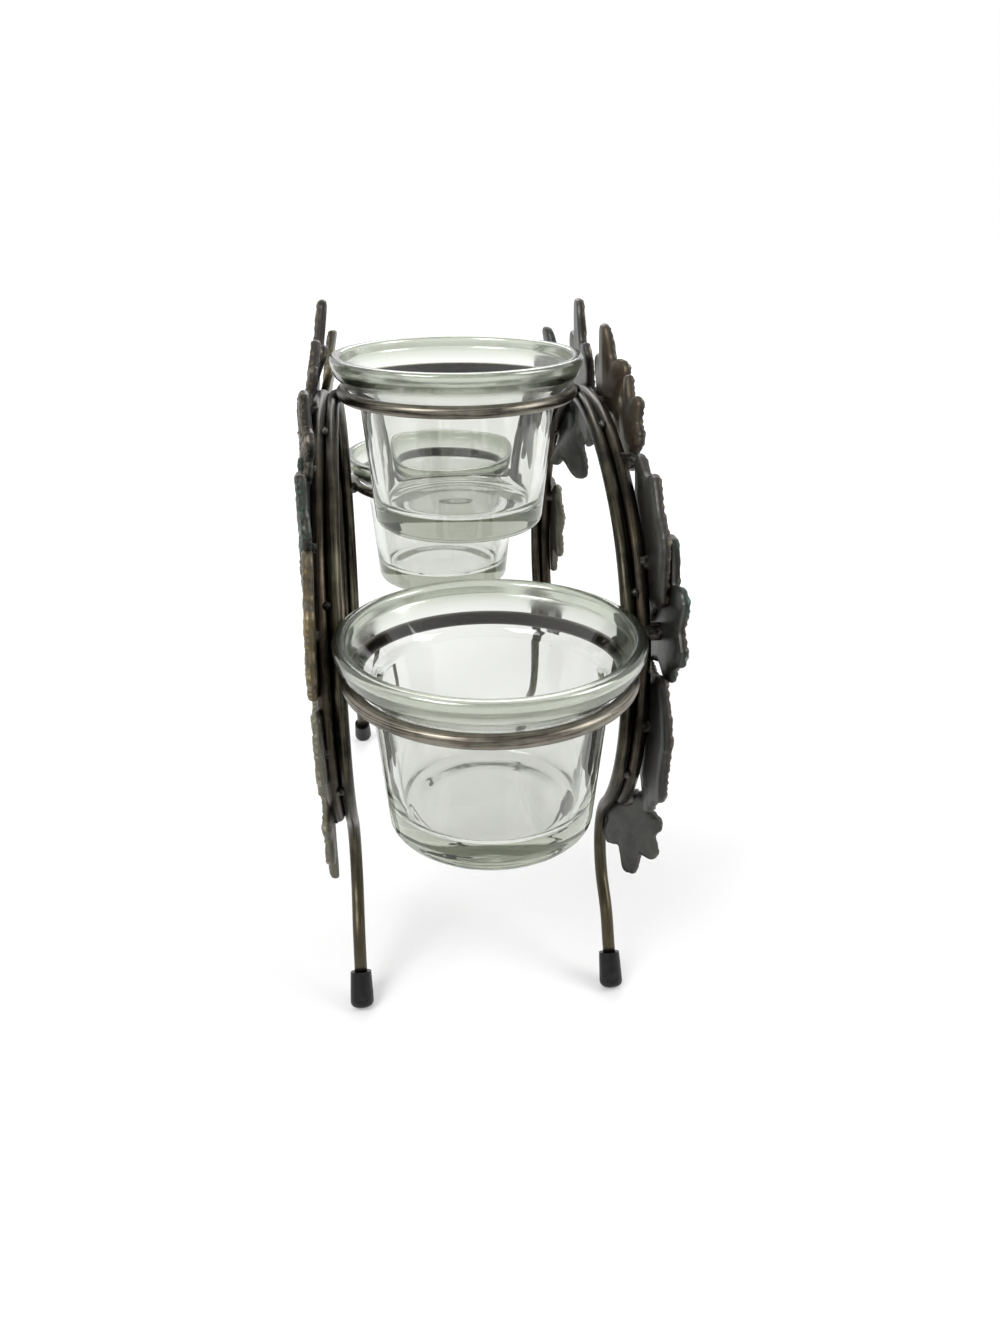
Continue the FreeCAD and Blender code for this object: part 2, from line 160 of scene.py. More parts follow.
def turned(profile, steps):
    """A shape turned about Z from (radius, height, rounding) corners."""
    bm = bmesh.new()
    corners = [bm.verts.new((radius * MM, 0, height * MM)) for radius, height, rounding in profile]
    for pair in zip(corners, corners[1:]):
        bm.edges.new(pair)
    for corner, (radius, height, rounding) in zip(corners, profile):
        if rounding:
            bmesh.ops.bevel(bm, geom=[corner], offset=rounding * MM, segments=ROUND_STEPS, profile=0.5,
                            affect="VERTICES", material=-1)
    long_edges = [edge for edge in bm.edges if edge.calc_length() > LONG_EDGE * MM]
    bmesh.ops.subdivide_edges(bm, edges=long_edges, cuts=LONG_EDGE_CUTS)
    bmesh.ops.spin(bm, geom=bm.verts[:] + bm.edges[:], cent=(0, 0, 0), axis=(0, 0, 1),
                   angle=math.tau, steps=steps, use_merge=True)
    bmesh.ops.remove_doubles(bm, verts=bm.verts, dist=MERGE_DISTANCE * MM)
    bmesh.ops.recalc_face_normals(bm, faces=bm.faces)
    return bm


def new_piece(name, bm, material):
    """Make an object of a finished mesh, smooth-shaded, at the origin."""
    mesh = bpy.data.meshes.new(name)
    bm.to_mesh(mesh)
    bm.free()
    mesh.shade_smooth()
    mesh.materials.append(material)
    piece = bpy.data.objects.new(name, mesh)
    bpy.context.scene.collection.objects.link(piece)
    return piece


glass, shader, spot = new_finish("clear_glass")
shader.inputs["Transmission Weight"].default_value = 1.0
shader.inputs["IOR"].default_value = GLASS_IOR
smudge = spot.grain(*SMUDGES).rising(*SMUDGE_EDGES) * spot.grain(*SMEARS)
lip = spot.own("lip")
lip.mix(GLASS_COLOUR, LIP_GREEN).feed(shader, "Base Color")
(lip * LIP_SHEEN).feed(shader, "Metallic")
(smudge * SMUDGE_ROUGH + lip * LIP_ROUGH + CLEAN_ROUGH).feed(shader, "Roughness")
bump(spot.grain(*RIPPLES), shader, RIPPLE_HEIGHT * MM, RIPPLE_STRENGTH)
absorbed = spot.node("ShaderNodeVolumeAbsorption", {}, {"Color": GLASS_TINT, "Density": GLASS_DENSITY})
absorbed.feed(glass.node_tree.nodes["Material Output"], "Volume")
for name in ("front_cup", "middle_cup", "rear_cup"):
    low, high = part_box(name)
    bm = turned(CUP_PROFILE, CUP_STEPS)
    lip_share = bm.verts.layers.float.new("lip")
    for vert in bm.verts:
        vert[lip_share] = min(1, max(0, (vert.co.z / MM - LIP_FROM) / (LIP_FULL - LIP_FROM)))
    bmesh.ops.translate(bm, verts=bm.verts, vec=((low.x + high.x) / 2, (low.y + high.y) / 2, low.z))
    cup = new_piece(f"{name}_glass", bm, glass)
    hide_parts(name)
    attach(cup, name)


# Wire rings. Each is a length of round steel wire, bent to a circle and butt-welded. The satin nickel
# of its outer side is worn bright, with patches of brown stain, and below and on the inner side, against the
# glass, painted shade turns it the same dark brown.
WIRE_SIDES = 24
RING_STEPS = 192
RING_DARK, RING_LIGHT = (0.050, 0.043, 0.034, 1), (0.25, 0.23, 0.19, 1)
# Dark brown of the stain patches, also painted as shade below the wire and on its inner side.
RING_STAIN_AND_SHADE = (0.016, 0.012, 0.009, 1)
STREAK_STRETCH, STREAKS = (18, 18, 18), (5, 4, 0.65)
RING_WEAR, RING_WEAR_SHARE, RING_WEAR_EDGES = (140, 4), 0.6, (0.55, 1.0)
STAIN, STAIN_SHARE, SHADE_BELOW, SHADE_INSIDE, STAIN_AND_SHADE_EDGES = (70, 3), 0.7, 0.5, 1.2, (-0.1, 0.6)
RING_ROUGH, RING_STREAK_ROUGH = 0.24, 0.18
RING_GRIT, RING_GRIT_SHARE, RING_GRIT_HEIGHT = (900, 2), 0.8, 0.012


def wire_section(bm, radius, place):
    """The round end of a wire. The attribute keeps which way each point faces, along the whole wire."""
    facing = bm.verts.layers.float_vector.new("facing")
    around = bmesh.ops.create_circle(bm, segments=WIRE_SIDES, radius=radius)["verts"]
    for vert in around:
        vert[facing] = vert.co / radius
    bmesh.ops.transform(bm, matrix=place, verts=around)
    return around + list({edge for vert in around for edge in vert.link_edges})


def wire_streaks(spot):
    """Fine lines that run along a drawn wire."""
    inputs = {0: spot, 1: STREAK_STRETCH, 2: spot.own("facing", "Vector")}
    stretched = spot.node("ShaderNodeVectorMath", {"operation": "MULTIPLY_ADD"}, inputs)
    return stretched.grain(*STREAKS)


ring_nickel, shader, spot = new_finish("ring_nickel")
shader.inputs["Metallic"].default_value = 1.0
streaks = wire_streaks(spot)
facing = spot.own("facing", "Vector")
outward, upward = facing.part("X"), facing.part("Y")
worn = (streaks + spot.grain(*RING_WEAR) * RING_WEAR_SHARE).rising(*RING_WEAR_EDGES)
# Patches of real stain, plus painted shade that darkens the wire below and on its inner side, against the
# glass.
stain_and_shade_level = spot.grain(*STAIN) * STAIN_SHARE - upward * SHADE_BELOW - outward * SHADE_INSIDE
stain_and_shade = stain_and_shade_level.rising(*STAIN_AND_SHADE_EDGES)
stain_and_shade.mix(worn.mix(RING_DARK, RING_LIGHT), RING_STAIN_AND_SHADE).feed(shader, "Base Color")
(streaks * RING_STREAK_ROUGH + RING_ROUGH).feed(shader, "Roughness")
bump(streaks + spot.grain(*RING_GRIT) * RING_GRIT_SHARE, shader, RING_GRIT_HEIGHT * MM)
for name in ("front_ring", "middle_ring", "rear_ring"):
    low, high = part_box(name)
    wire_radius = (high.z - low.z) / 2
    ring_radius = (high.x - low.x) / 2 - wire_radius
    upright = Matrix.Translation((ring_radius, 0, 0)) @ Matrix.Rotation(math.pi / 2, 4, "X")
    bm = bmesh.new()
    bmesh.ops.spin(bm, geom=wire_section(bm, wire_radius, upright), cent=(0, 0, 0), axis=(0, 0, 1),
                   angle=math.tau, steps=RING_STEPS, use_merge=True)
    bmesh.ops.recalc_face_normals(bm, faces=bm.faces)
    bmesh.ops.translate(bm, verts=bm.verts, vec=(low + high) / 2)
    ring = new_piece(f"{name}_wire", bm, ring_nickel)
    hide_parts(name)
    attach(ring, "stand")


# Arch rods. Each side frame is one steel wire bent like the letter omega, from foot to foot. Its finish
# is a dark antique pewter, rubbed bright along the drawn lines, with a lighter, warmer painted reflection
# towards the feet.
SIDES = ("left", "right")
ARCH_HALF_WIDTH, SHOULDER_RADIUS = 76.5, 52.0
CROWN_ANGLE, TUCK_ANGLE = 34.7, 47.5
WAIST_RADIUS, WAIST_HEIGHT = 18.0, 37.0
LEG_ANGLE, LEG_RADIUS, FOOT_SPLAY = 56.0, 20.0, 30.0
CAP_RADIUS, CAP_ROUND, CAP_WEAR, CAP_SOLE = 3.2, 1.8, 0.4, 1.6
BEND_STEP = 3.0
PEWTER_DARK, PEWTER_LIGHT = (0.010, 0.0098, 0.008, 1), (0.082, 0.074, 0.052, 1)
# Painted reflection: a lighter, warmer colour near the feet, fading out between two heights in millimetres.
PEWTER_REFLECTED = (0.085, 0.072, 0.046, 1)
RUBBING, RUBBING_SHARE, RUBBING_EDGES = (110, 5), 0.8, (0.66, 1.15)
REFLECTION_HEIGHTS, REFLECTION_SHARE = (12.0, 48.0), 0.75
PEWTER_ROUGH, PEWTER_STREAK_ROUGH = 0.22, 0.22
PEWTER_GRIT, PEWTER_GRIT_SHARE, PEWTER_GRIT_HEIGHT = (700, 3), 0.7, 0.05
Spot = namedtuple("Spot", "reach height")
Bend = namedtuple("Bend", "centre radius first last")


def along(start, distance, direction):
    """The spot at a distance from another in the frame's plane, in degrees from straight up."""
    angle = math.radians(direction)
    return Spot(start.reach + distance * math.sin(angle), start.height + distance * math.cos(angle))


tuck, lean = 90 + TUCK_ANGLE, 90 + LEG_ANGLE
shoulder_reach = ARCH_HALF_WIDTH - SHOULDER_RADIUS
waist_rise = (SHOULDER_RADIUS + WAIST_RADIUS) * math.cos(math.radians(tuck))
shoulder_centre = Spot(shoulder_reach, WAIST_HEIGHT - waist_rise)
crown_radius = SHOULDER_RADIUS + shoulder_reach / math.sin(math.radians(CROWN_ANGLE))
crown_centre = along(shoulder_centre, SHOULDER_RADIUS - crown_radius, CROWN_ANGLE)
waist_centre = along(shoulder_centre, SHOULDER_RADIUS + WAIST_RADIUS, tuck)
leg_centre = along(waist_centre, WAIST_RADIUS + LEG_RADIUS, -lean)
CROWN = Bend(crown_centre, crown_radius, 0, CROWN_ANGLE)
SHOULDER = Bend(shoulder_centre, SHOULDER_RADIUS, CROWN_ANGLE, tuck)
WAIST = Bend(waist_centre, WAIST_RADIUS, tuck - 180, -lean)
LEG = Bend(leg_centre, LEG_RADIUS, 180 - lean, 90 - FOOT_SPLAY)
splay = math.radians(FOOT_SPLAY)
sole_height = CAP_ROUND * (1 - math.cos(splay)) + (CAP_RADIUS - CAP_ROUND) * math.sin(splay) - CAP_WEAR
leg_end = along(LEG.centre, LEG.radius, LEG.last)
SOLE = along(leg_end, (leg_end.height - sole_height) / math.cos(splay), 180 - FOOT_SPLAY)


def frame_point(x, spot, end):
    """A spot of the frame's plane in metres, on the front (end -1) or rear (end 1) half."""
    return Vector((x, end * spot.reach * MM, spot.height * MM))


def drawn_out(bm, edges):
    """Draw edges out into a band, and give the new verts and the new edges between them."""
    drawn = bmesh.ops.extrude_edge_only(bm, edges=edges)["geom"]
    verts = [thing for thing in drawn if isinstance(thing, bmesh.types.BMVert)]
    edges = [thing for thing in drawn if isinstance(thing, bmesh.types.BMEdge)]
    far_side = set(verts)
    return verts, [edge for edge in edges if far_side.issuperset(edge.verts)]


def straight_run(bm, tip, step):
    """Draw the end of a wire out along a straight line."""
    verts, edges = drawn_out(bm, [thing for thing in tip if isinstance(thing, bmesh.types.BMEdge)])
    bmesh.ops.translate(bm, verts=verts, vec=step)
    return verts + edges


def bent_rod(x, radius, bends, start, heading):
    """A wire that starts on the front half, follows the bends over the crown and comes down the rear."""
    bm = bmesh.new()
    facing = Vector((0, -math.sin(math.radians(heading)), math.cos(math.radians(heading))))
    turned_up = facing.to_track_quat("Z", "X").to_matrix().to_4x4()
    tip = wire_section(bm, radius, Matrix.Translation(frame_point(x, start, -1)) @ turned_up)
    bmesh.ops.contextual_create(bm, geom=tip)
    leg_run = math.dist(start, along(bends[0].centre, bends[0].radius, bends[0].last))
    if leg_run:
        tip = straight_run(bm, tip, facing * leg_run * MM)
    for end, halves in ((-1, bends), (1, bends[::-1])):
        for bend in halves:
            turn = bend.first - bend.last
            steps = math.ceil(abs(turn) / BEND_STEP)
            tip = bmesh.ops.spin(bm, geom=tip, cent=frame_point(x, bend.centre, end), axis=(1, 0, 0),
                                 angle=math.radians(turn), steps=steps)["geom_last"]
    if leg_run:
        tip = straight_run(bm, tip, Vector((0, facing.y, -facing.z)) * leg_run * MM)
    bmesh.ops.contextual_create(bm, geom=tip)
    bmesh.ops.recalc_face_normals(bm, faces=bm.faces)
    return bm


def wire_pewter(name, light):
    """Dark antique pewter on a drawn wire, rubbed to a light colour along its lines, with a painted
    reflection that turns it lighter and warmer towards the feet.
    """
    material, shader, spot = new_finish(name)
    shader.inputs["Metallic"].default_value = 1.0
    streaks = wire_streaks(spot)
    rubbed = (streaks + spot.grain(*RUBBING) * RUBBING_SHARE).rising(*RUBBING_EDGES)
    # Painted reflection: the colour turns lighter and warmer towards the feet.
    low, high = REFLECTION_HEIGHTS
    painted_reflection = (1 - spot.part("Z").rising(low * MM, high * MM)) * REFLECTION_SHARE
    aged = rubbed.mix(PEWTER_DARK, light)
    painted_reflection.mix(aged, PEWTER_REFLECTED).feed(shader, "Base Color")
    (streaks * PEWTER_STREAK_ROUGH + PEWTER_ROUGH).feed(shader, "Roughness")
    bump(streaks + spot.grain(*PEWTER_GRIT) * PEWTER_GRIT_SHARE, shader, PEWTER_GRIT_HEIGHT * MM)
    return material


arch_pewter = wire_pewter("arch_pewter", PEWTER_LIGHT)
arch_bends = [LEG, WAIST, SHOULDER, CROWN]
rod_end = along(SOLE, CAP_SOLE, -FOOT_SPLAY)
for side in SIDES:
    low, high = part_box(f"{side}_arch_rod")
    bm = bent_rod((low.x + high.x) / 2, (high.x - low.x) / 2, arch_bends, rod_end, -FOOT_SPLAY)
    rod = new_piece(f"{side}_arch_wire", bm, arch_pewter)
    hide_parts(f"{side}_arch_rod")
    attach(rod, "stand")


# Branch rods. A second, outer wire lies along each arch from waist to waist and carries the leaves. It
# is browner than the arch, and its cut ends are slightly rounded.
BRANCH_LAST, WIRE_CLOSE = 133.0, 0.18
BRANCH_LIGHT = (0.070, 0.056, 0.040, 1)
END_ROUND, END_STEPS = 0.5, 3
branch_pewter = wire_pewter("branch_pewter", BRANCH_LIGHT)
branch_bends = [SHOULDER._replace(last=BRANCH_LAST), CROWN]
branch_start = along(SHOULDER.centre, SHOULDER.radius, BRANCH_LAST)
for side in SIDES:
    low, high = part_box(f"{side}_branch_rod")
    wire_radius = (high.x - low.x) / 2 + WIRE_CLOSE * MM
    bm = bent_rod((low.x + high.x) / 2, wire_radius, branch_bends, branch_start, BRANCH_LAST - 90)
    ends = [edge for face in bm.faces if len(face.verts) == WIRE_SIDES for edge in face.edges]
    bmesh.ops.bevel(bm, geom=ends, offset=END_ROUND * MM, segments=END_STEPS, profile=0.5,
                    affect="EDGES", material=-1)
    rod = new_piece(f"{side}_branch_wire", bm, branch_pewter)
    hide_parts(f"{side}_branch_rod")
    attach(rod, "stand")


# Foot caps. Black vinyl sleeves pushed onto the four rod ends, splayed with the legs and worn flat
# where they stand. They have a soft sheen and some dust.
CAP_STEPS = 48
CAP_PROFILE = [
    # radius, height, rounding
    (0, 0, 0),
    (CAP_RADIUS, 0, CAP_ROUND),
    (3.1, 3.2, 0.8),
    (2.86, 8.7, 0.8),
    (2.8, 9.5, 0.5),
    (1.75, 9.35, 0.2),
    (1.75, 2.2, 0),
    (0, 2.2, 0),
]
VINYL, VINYL_DUST = (0.0025, 0.0025, 0.0028, 1), (0.014, 0.0135, 0.0125, 1)
DUST, DUST_EDGES = (420, 5), (0.5, 0.78)
VINYL_ROUGH, DUST_ROUGH, VINYL_SHINE = 0.36, 0.25, 0.3
VINYL_GRAIN, VINYL_GRAIN_HEIGHT = (1500, 3), 0.06
vinyl, shader, spot = new_finish("black_vinyl")
dust = spot.grain(*DUST).rising(*DUST_EDGES)
dust.mix(VINYL, VINYL_DUST).feed(shader, "Base Color")
(dust * DUST_ROUGH + VINYL_ROUGH).feed(shader, "Roughness")
shader.inputs["Specular IOR Level"].default_value = VINYL_SHINE
bump(spot.grain(*VINYL_GRAIN), shader, VINYL_GRAIN_HEIGHT * MM)
for side in SIDES:
    low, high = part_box(f"{side}_arch_rod")
    for name, end in (("front", -1), ("rear", 1)):
        bm = turned(CAP_PROFILE, CAP_STEPS)
        standing = frame_point((low.x + high.x) / 2, SOLE, end)
        bmesh.ops.transform(bm, verts=bm.verts,
                            matrix=Matrix.Translation(standing) @ Matrix.Rotation(end * splay, 4, "X"))
        whole = bm.verts[:] + bm.edges[:] + bm.faces[:]
        worn_flat = bmesh.ops.bisect_plane(bm, geom=whole, plane_co=(0, 0, 0), plane_no=(0, 0, -1),
                                           clear_outer=True)["geom_cut"]
        sole_edges = [thing for thing in worn_flat if isinstance(thing, bmesh.types.BMEdge)]
        bmesh.ops.contextual_create(bm, geom=sole_edges)
        cap = new_piece(f"{name}_{side}_vinyl_cap", bm, vinyl)
        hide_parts(f"{name}_{side}_foot_cap")
        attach(cap, "stand")


# Weld beads. Small lumps of bright weld metal join the rings to the arches, and the branch rods to the
# arches in the valley between the two wires. Short posts of the same metal hold the leaves.
RING_BEAD = 2.0
RING_BEADS = [
    # out from the middle, along the row of cups, height
    (32.5, 75.2, 103.2),
    (33.2, 0, 149.7),
    (32.5, -75.2, 103.2),
]
BRANCH_BEADS = (-115, -62, -24, 16, 60, 114)
BRANCH_BEAD, BRANCH_BEAD_RISE = 1.15, 1.1
BEAD_ROUNDS, BEAD_LUMP, BEAD_LUMP_SIZE = 4, 0.28, 1.6
WELD_DARK, WELD_BRIGHT = (0.014, 0.0135, 0.012, 1), (0.13, 0.125, 0.11, 1)
WELD_PATCHES, WELD_SPECKS, WELD_SPECK_SHARE, WELD_EDGES = (500, 4), (1800, 2), 0.5, (0.62, 0.95)
WELD_ROUGH, WELD_CLOUDS, WELD_CLOUD_ROUGH = 0.32, (900, 3), 0.3
WELD_GRIT, WELD_GRIT_HEIGHT = (1400, 3), 0.08


def weld_bead(bm, centre, radius):
    """One lump of weld metal."""
    verts = bmesh.ops.create_icosphere(bm, subdivisions=BEAD_ROUNDS, radius=radius * MM)["verts"]
    for vert in verts:
        lump = noise.noise((vert.co + centre) / (BEAD_LUMP_SIZE * MM))
        vert.co += vert.co.normalized() * lump * BEAD_LUMP * MM
    bmesh.ops.translate(bm, verts=verts, vec=centre)


weld_metal, shader, spot = new_finish("weld_metal")
shader.inputs["Metallic"].default_value = 1.0
bright = (spot.grain(*WELD_PATCHES) + spot.grain(*WELD_SPECKS) * WELD_SPECK_SHARE).rising(*WELD_EDGES)
bright.mix(WELD_DARK, WELD_BRIGHT).feed(shader, "Base Color")
(spot.grain(*WELD_CLOUDS) * WELD_CLOUD_ROUGH + WELD_ROUGH).feed(shader, "Roughness")
bump(spot.grain(*WELD_GRIT), shader, WELD_GRIT_HEIGHT * MM)
bm = bmesh.new()
for x, y, z in RING_BEADS:
    for sign in (-1, 1):
        weld_bead(bm, Vector((sign * x, y, z)) * MM, RING_BEAD)
beads = new_piece("ring_weld_beads", bm, weld_metal)
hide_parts("ring_welds")
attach(beads, "stand")


def frame_spot(direction):
    """The spot on the crown or a shoulder where the wire's normal has a direction."""
    bend = CROWN if abs(direction) <= CROWN.last else SHOULDER
    spot = along(bend.centre, bend.radius, abs(direction))
    return Spot(math.copysign(spot.reach, direction), spot.height)


bm = bmesh.new()
for side in SIDES:
    between = (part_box(f"{side}_arch_rod")[0].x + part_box(f"{side}_branch_rod")[1].x) / 2
    for direction in BRANCH_BEADS:
        valley = along(frame_spot(direction), BRANCH_BEAD_RISE, direction)
        weld_bead(bm, frame_point(between, valley, -1), BRANCH_BEAD)
beads = new_piece("branch_weld_beads", bm, weld_metal)
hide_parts("branch_welds")
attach(beads, "stand")
for side in SIDES:
    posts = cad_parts[f"{side}_leaf_welds"]
    posts.data.materials.clear()
    posts.data.materials.append(weld_metal)


# Leaves. Lobed leaves of thick sheet metal, veined and hammered on the front, plain on the back, bent by
# hand and welded to the branch rods. Each has patches of one patina over umber and grey iron.
LEAF_OUTLINE = [
    # degrees from the tip, share of the reach
    (0, 0.985), (7, 0.99), (21, 0.63), (38, 0.80), (50, 0.79), (66, 0.56), (83, 0.66), (98, 0.64),
    (118, 0.48), (136, 0.54), (151, 0.52), (180, 0.34),
]
VEINS = (0, 44, -44, 90, -90, 143, -143)
LEAF_SEGMENTS, FRONT_RINGS, BACK_RINGS, EDGE_RINGS = 240, 44, 8, [0.996, 0.987, 0.974]
LEAF_THICK, LEAF_ROUND, LEAF_CREASE, LEAF_GAP, LAYER_STEP = 2.3, 1.0, 2.0, 0.15, 2.14
LEAF_REACH = {"large": 31.0, "medium": 25.0, "small": 18.0}
LEAF_TRIM, LEAF_EASE, LEAF_MERGE, SEED_STEP = 0.965, 0.5, 0.0005, 17.3
TEETH = [(5, 0.030), (12, 0.014)]
VEIN_WIDTH, VEIN_HEIGHT = 0.8, 0.45
RIB_PITCH, RIB_SLANT, RIB_WOBBLE, RIB_HEIGHT = 2.3, 0.7, 0.5, 0.27
DENT_SIZE, DENT_DEPTH = 1.9, 0.30
PIT_SIZE, PIT_DEPTH = 0.75, 0.10
CURL, CURL_SIZE = 0.25, 0.55
PRESS_RUN, PRESS_POWER, OPEN_FROM = 12.0, 1.5, 6.0
Leaf = namedtuple("Leaf", "name at tip size layer shift lean turn press twist wash smoothing open",
                  defaults=[3, 0])
LEAVES = {
    # Degrees along the rod and of the tip, the size, layers out from the rod and a shift towards the tip,
    # the lean and turn in degrees, how far the sheet outside the arch is pressed in and its near part
    # twisted, the patina, how worn the outline is, and how far the sheet inside the arch is opened.
    "left": [
        Leaf("front_crown", 8, -6, "small", 0, 2, -12, 0, 0.0, 0.14, "umber"),
        Leaf("front_shoulder", 26, 16, "small", -0.35, 5, 0, 0, 0.2, 0.2, "umber"),
        Leaf("front_upper", 45, -40, "medium", -0.2, 0, 0, 0, 0.4, 0.12, "teal"),
        Leaf("front_outer", 67, 2, "medium", -0.4, -3, 0, 0, 1.0, 0, "gold", 12),
        Leaf("front_lower", 99, 172, "small", -0.5, -4, 0, 0, 1.2, 0, "olive", 60),
        Leaf("front_waist", 132, 165, "small", -0.5, 0, 0, 0, 0.5, 0, "olive", 12),
        Leaf("rear_crown", -17, 0, "large", 0, -1.2, -4, 0, 0.7, 0.2, "umber"),
        Leaf("rear_shoulder", -44, -8, "large", 0, 4, -4, 0, 0.9, 0.2, "gold"),
        Leaf("rear_hanging", -32, 148, "medium", 1, 4, 1, 0, 0.0, 0, "teal"),
        Leaf("rear_side", -80, 178, "medium", 0, 0, 0, 0, 1.0, 0, "olive"),
        Leaf("rear_waist", -133, -165, "small", 0.6, 5, 0, 31, 0.0, 0, "umber"),
    ],
    "right": [
        Leaf("front_crown", 4, -4, "medium", 0.2, -3, -4, 0, 0.0, -0.2, "bronze", 12),
        Leaf("front_shoulder", 20, -16, "small", 0.4, 0, 0, -2, 0.0, -0.12, "bronze", 8),
        Leaf("front_upper", 52, -36, "large", 0, 0, 0, 0, 0.9, 0, "umber", 60),
        Leaf("front_outer", 70, 2, "medium", 1, 0, 1, 2, 0.5, 0, "teal"),
        Leaf("front_lower", 96, 174, "large", 0, -2, 0, 0, 0.9, 0, "umber", 100),
        Leaf("front_waist", 133, 168, "small", -0.3, 5, 0, -31, 0.0, 0, "slate"),
        Leaf("rear_crown", -17, 0, "large", 0, -2, -4, 0, 0.0, 0.1, "umber"),
        Leaf("rear_shoulder", -44, -8, "large", 0, 4, -4, 0, 0.9, 0, "teal"),
        Leaf("rear_hanging", -32, 146, "medium", 1, 0, 1, 0, 0.0, 0, "slate", 12, 0.45),
        Leaf("rear_side", -80, 178, "medium", 0, 5, 0, 0, 1.0, 0, "olive"),
        Leaf("rear_waist", -128, -150, "small", 1, 3, 0, 0, 0.3, 0, "umber"),
    ],
}
Patina = namedtuple("Patina", "wash spread black on_back")
PATINAS = {
    "umber": Patina((0.085, 0.060, 0.038, 1), 0.0, 0.85, 0.0),
    "bronze": Patina((0.085, 0.064, 0.040, 1), 0.1, 0.80, 0.8),
    "teal": Patina((0.018, 0.075, 0.064, 1), 0.0, 0.80, 0.1),
    "olive": Patina((0.21, 0.20, 0.145, 1), 0.16, 0.45, 0.3),
    "gold": Patina((0.22, 0.165, 0.070, 1), 0.05, 0.60, 0.4),
    "slate": Patina((0.060, 0.058, 0.053, 1), 0.30, 0.40, 0.0),
}
UMBER = PATINAS["umber"].wash
IRON_BLACK, IRON_GREY = (0.012, 0.0115, 0.010, 1), (0.065, 0.061, 0.050, 1)
IRON_BRIGHT = (0.34, 0.32, 0.28, 1)
BACK_DARK, BACK_LIGHT = (0.040, 0.0395, 0.037, 1), (0.090, 0.089, 0.083, 1)
SALT = (0.24, 0.24, 0.20, 1)
SPECKLE, MOTTLE, BACK_MOTTLE = (1100, 3, 0.6), (170, 4), (60, 4)
WASH, WASH_SPECKLE, WASH_EDGES, WASH_SHARE = (85, 4), 0.25, (0.52, 0.70), 0.85
DARK_SPECKLE, DARK_EDGES = 0.5, (-0.42, -0.12)
RUB_SPECKLE, RUB_EDGES, RUB_SHARE = 0.35, (0.82, 1.12), 0.5
SALTING, SALT_HOLLOWS, SALT_EDGES, SALT_SHARE = (260, 4), 0.3, (0.44, 0.60), 0.35
BACK_SPECKLE, BACK_EDGES, BACK_RELIEF = 0.2, (0.4, 0.85), 0.3
LEAF_METAL, WASH_METAL, RUB_METAL = 0.82, 0.45, 0.3
LEAF_ROUGH, WASH_ROUGH, RUB_ROUGH, SPECKLE_ROUGH = 0.46, 0.15, 0.2, 0.1
FACE_GRIT, LEAF_GRIT, LEAF_GRIT_SHARE, LEAF_GRIT_HEIGHT = (1600, 3), (500, 3), 0.5, 0.10


def leaf_patina(name, patina):
    """Patina on hammered iron: black in the dents, a coloured wash in patches, bright on the high spots."""
    material, shader, spot = new_finish(name)
    front, relief = spot.own("front"), spot.own("relief")
    speckle = spot.grain(*SPECKLE)
    washed = (spot.grain(*WASH) + speckle * WASH_SPECKLE + patina.spread).rising(*WASH_EDGES)
    dark = (speckle * DARK_SPECKLE - relief).rising(*DARK_EDGES)
    rubbed = (relief + speckle * RUB_SPECKLE).rising(*RUB_EDGES)
    salted = (spot.grain(*SALTING) - relief * SALT_HOLLOWS).rising(*SALT_EDGES)
    face = spot.grain(*MOTTLE).mix(IRON_GREY, UMBER)
    face = (washed * WASH_SHARE).mix(face, patina.wash)
    face = (salted * SALT_SHARE).mix(face, SALT)
    face = (dark * patina.black).mix(face, IRON_BLACK)
    face = (rubbed * RUB_SHARE).mix(face, IRON_BRIGHT)
    mottled = (spot.grain(*BACK_MOTTLE) + speckle * BACK_SPECKLE).rising(*BACK_EDGES)
    back = mottled.mix(BACK_DARK, BACK_LIGHT)
    back = (washed * patina.on_back).mix(back, patina.wash)
    front.mix(back, face).feed(shader, "Base Color")
    (LEAF_METAL - front * (washed * WASH_METAL - rubbed * RUB_METAL)).feed(shader, "Metallic")
    roughened = front * (washed * WASH_ROUGH - rubbed * RUB_ROUGH)
    (LEAF_ROUGH + roughened - speckle * SPECKLE_ROUGH).feed(shader, "Roughness")
    grit = spot.grain(*FACE_GRIT) * front + spot.grain(*LEAF_GRIT) * LEAF_GRIT_SHARE
    bump(grit, shader, LEAF_GRIT_HEIGHT * MM)
    return material


def outline_share(degrees):
    """How far the outline lies from the leaf's middle in a direction, as a share of the reach."""
    turn = abs((degrees + 180) % 360 - 180)
    for (first, near), (last, far) in zip(LEAF_OUTLINE, LEAF_OUTLINE[1:]):
        if turn <= last:
            swing, part = math.radians(last - first), math.radians(turn - first)
            return near * far * math.sin(swing) / (near * math.sin(part) + far * math.sin(swing - part))


def sheet_height(y, z, reach, seed):
    """How far the back of the bent sheet stands out at a point: creased at the midrib, its lobes curled."""
    far = math.hypot(y, z) / reach
    wave = noise.noise(Vector((y, z, seed)) / (CURL_SIZE * reach))
    return abs(y) * math.tan(math.radians(LEAF_CREASE)) + CURL * (1 + wave) * far * far


